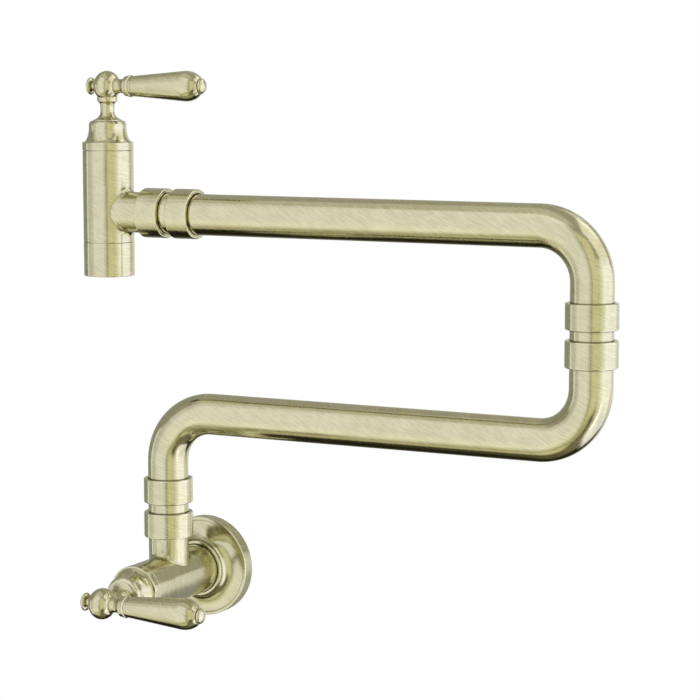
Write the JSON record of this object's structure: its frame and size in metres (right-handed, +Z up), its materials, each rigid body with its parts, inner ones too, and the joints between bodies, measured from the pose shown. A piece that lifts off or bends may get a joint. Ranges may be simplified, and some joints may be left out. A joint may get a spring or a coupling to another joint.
{
  "type": "wall mounted pot filler",
  "caption": "Folding wall mounted pot filler tap: a round wall rosette with a lever valve, hollow arms on swivels, and an upright spout valve with a lever and an aerated outlet.",
  "frame": {"origin": "where the axis of the wall valve meets the face of the wall", "axes": "+Z up, +Y into the wall, +X to the right along the wall as someone facing the wall sees it; the arms lie along X at rest"},
  "size_m": [0.3362, 0.1464, 0.3325],
  "materials": {
    "brushed_brass": "pale aged brass, finely brushed, satin",
    "bare_brass": "plain machined brass",
    "steel": "stainless steel",
    "ceramic": "lapped ceramic",
    "rubber": "black sealing rubber",
    "ptfe": "white slippery bearing plastic",
    "plastic": "moulded aerator housing"
  },
  "bodies": {
    "base": {"wall_rosette": "brushed_brass", "rosette_grip_ring": "rubber", "inlet_nipple": "bare_brass", "inlet_gasket": "rubber", "wall_valve_body": "brushed_brass", "wall_cartridge_body": "bare_brass", "wall_seat_seal": "rubber", "wall_fixed_disc": "ceramic", "wall_bonnet": "brushed_brass", "wall_swivel_nut": "brushed_brass", "wall_swivel_washer": "ptfe"},
    "wall_handle": {"wall_turning_disc": "ceramic", "wall_stem": "bare_brass", "wall_stem_seal": "rubber", "wall_handle_hub": "brushed_brass", "wall_hub_button": "brushed_brass", "wall_lever_ferrule": "brushed_brass", "wall_lever_grip": "brushed_brass", "wall_lever_finial": "brushed_brass", "wall_lever_stud": "steel", "wall_grub_screw": "steel"},
    "lower_arm": {"wall_swivel_spindle": "brushed_brass", "wall_swivel_oring_1": "rubber", "wall_swivel_oring_2": "rubber", "wall_swivel_collar": "brushed_brass", "lower_arm_tube": "brushed_brass", "elbow_socket": "bare_brass", "elbow_swivel_nut": "brushed_brass", "elbow_swivel_washer": "ptfe"},
    "upper_arm": {"elbow_swivel_spindle": "brushed_brass", "elbow_swivel_oring_1": "rubber", "elbow_swivel_oring_2": "rubber", "elbow_swivel_collar": "brushed_brass", "upper_arm_tube": "brushed_brass", "spout_union_nut": "brushed_brass", "spout_union_washer": "rubber", "spout_union_tailpiece": "brushed_brass", "spout_union_collar": "brushed_brass", "spout_valve_body": "brushed_brass", "spout_cartridge_body": "bare_brass", "spout_seat_seal": "rubber", "spout_fixed_disc": "ceramic", "spout_bonnet": "brushed_brass", "outlet_ring": "brushed_brass", "aerator_housing": "plastic", "aerator_screen": "steel", "aerator_washer": "rubber"},
    "spout_handle": {"spout_turning_disc": "ceramic", "spout_stem": "bare_brass", "spout_stem_seal": "rubber", "spout_handle_hub": "brushed_brass", "spout_hub_button": "brushed_brass", "spout_lever_ferrule": "brushed_brass", "spout_lever_grip": "brushed_brass", "spout_lever_finial": "brushed_brass", "spout_lever_stud": "steel", "spout_grub_screw": "steel"}
  },
  "joints": [
    {"name": "wall_swivel", "type": "hinge", "parent": "base", "child": "lower_arm", "pos_m": [0, -0.0468, 0.041], "axis": [0, 0, 1], "range_deg": [-185, 5]},
    {"name": "elbow_swivel", "type": "hinge", "parent": "lower_arm", "child": "upper_arm", "pos_m": [0.2672, -0.0468, 0.158], "axis": [0, 0, 1], "continuous": true},
    {"name": "wall_valve_turn", "type": "hinge", "parent": "base", "child": "wall_handle", "pos_m": [0, -0.1195, 0], "axis": [0, -1, 0], "range_deg": [0, 90]},
    {"name": "spout_valve_turn", "type": "hinge", "parent": "upper_arm", "child": "spout_handle", "pos_m": [-0.0397, -0.0468, 0.293], "axis": [0, 0, 1], "range_deg": [-90, 0]}
  ]
}
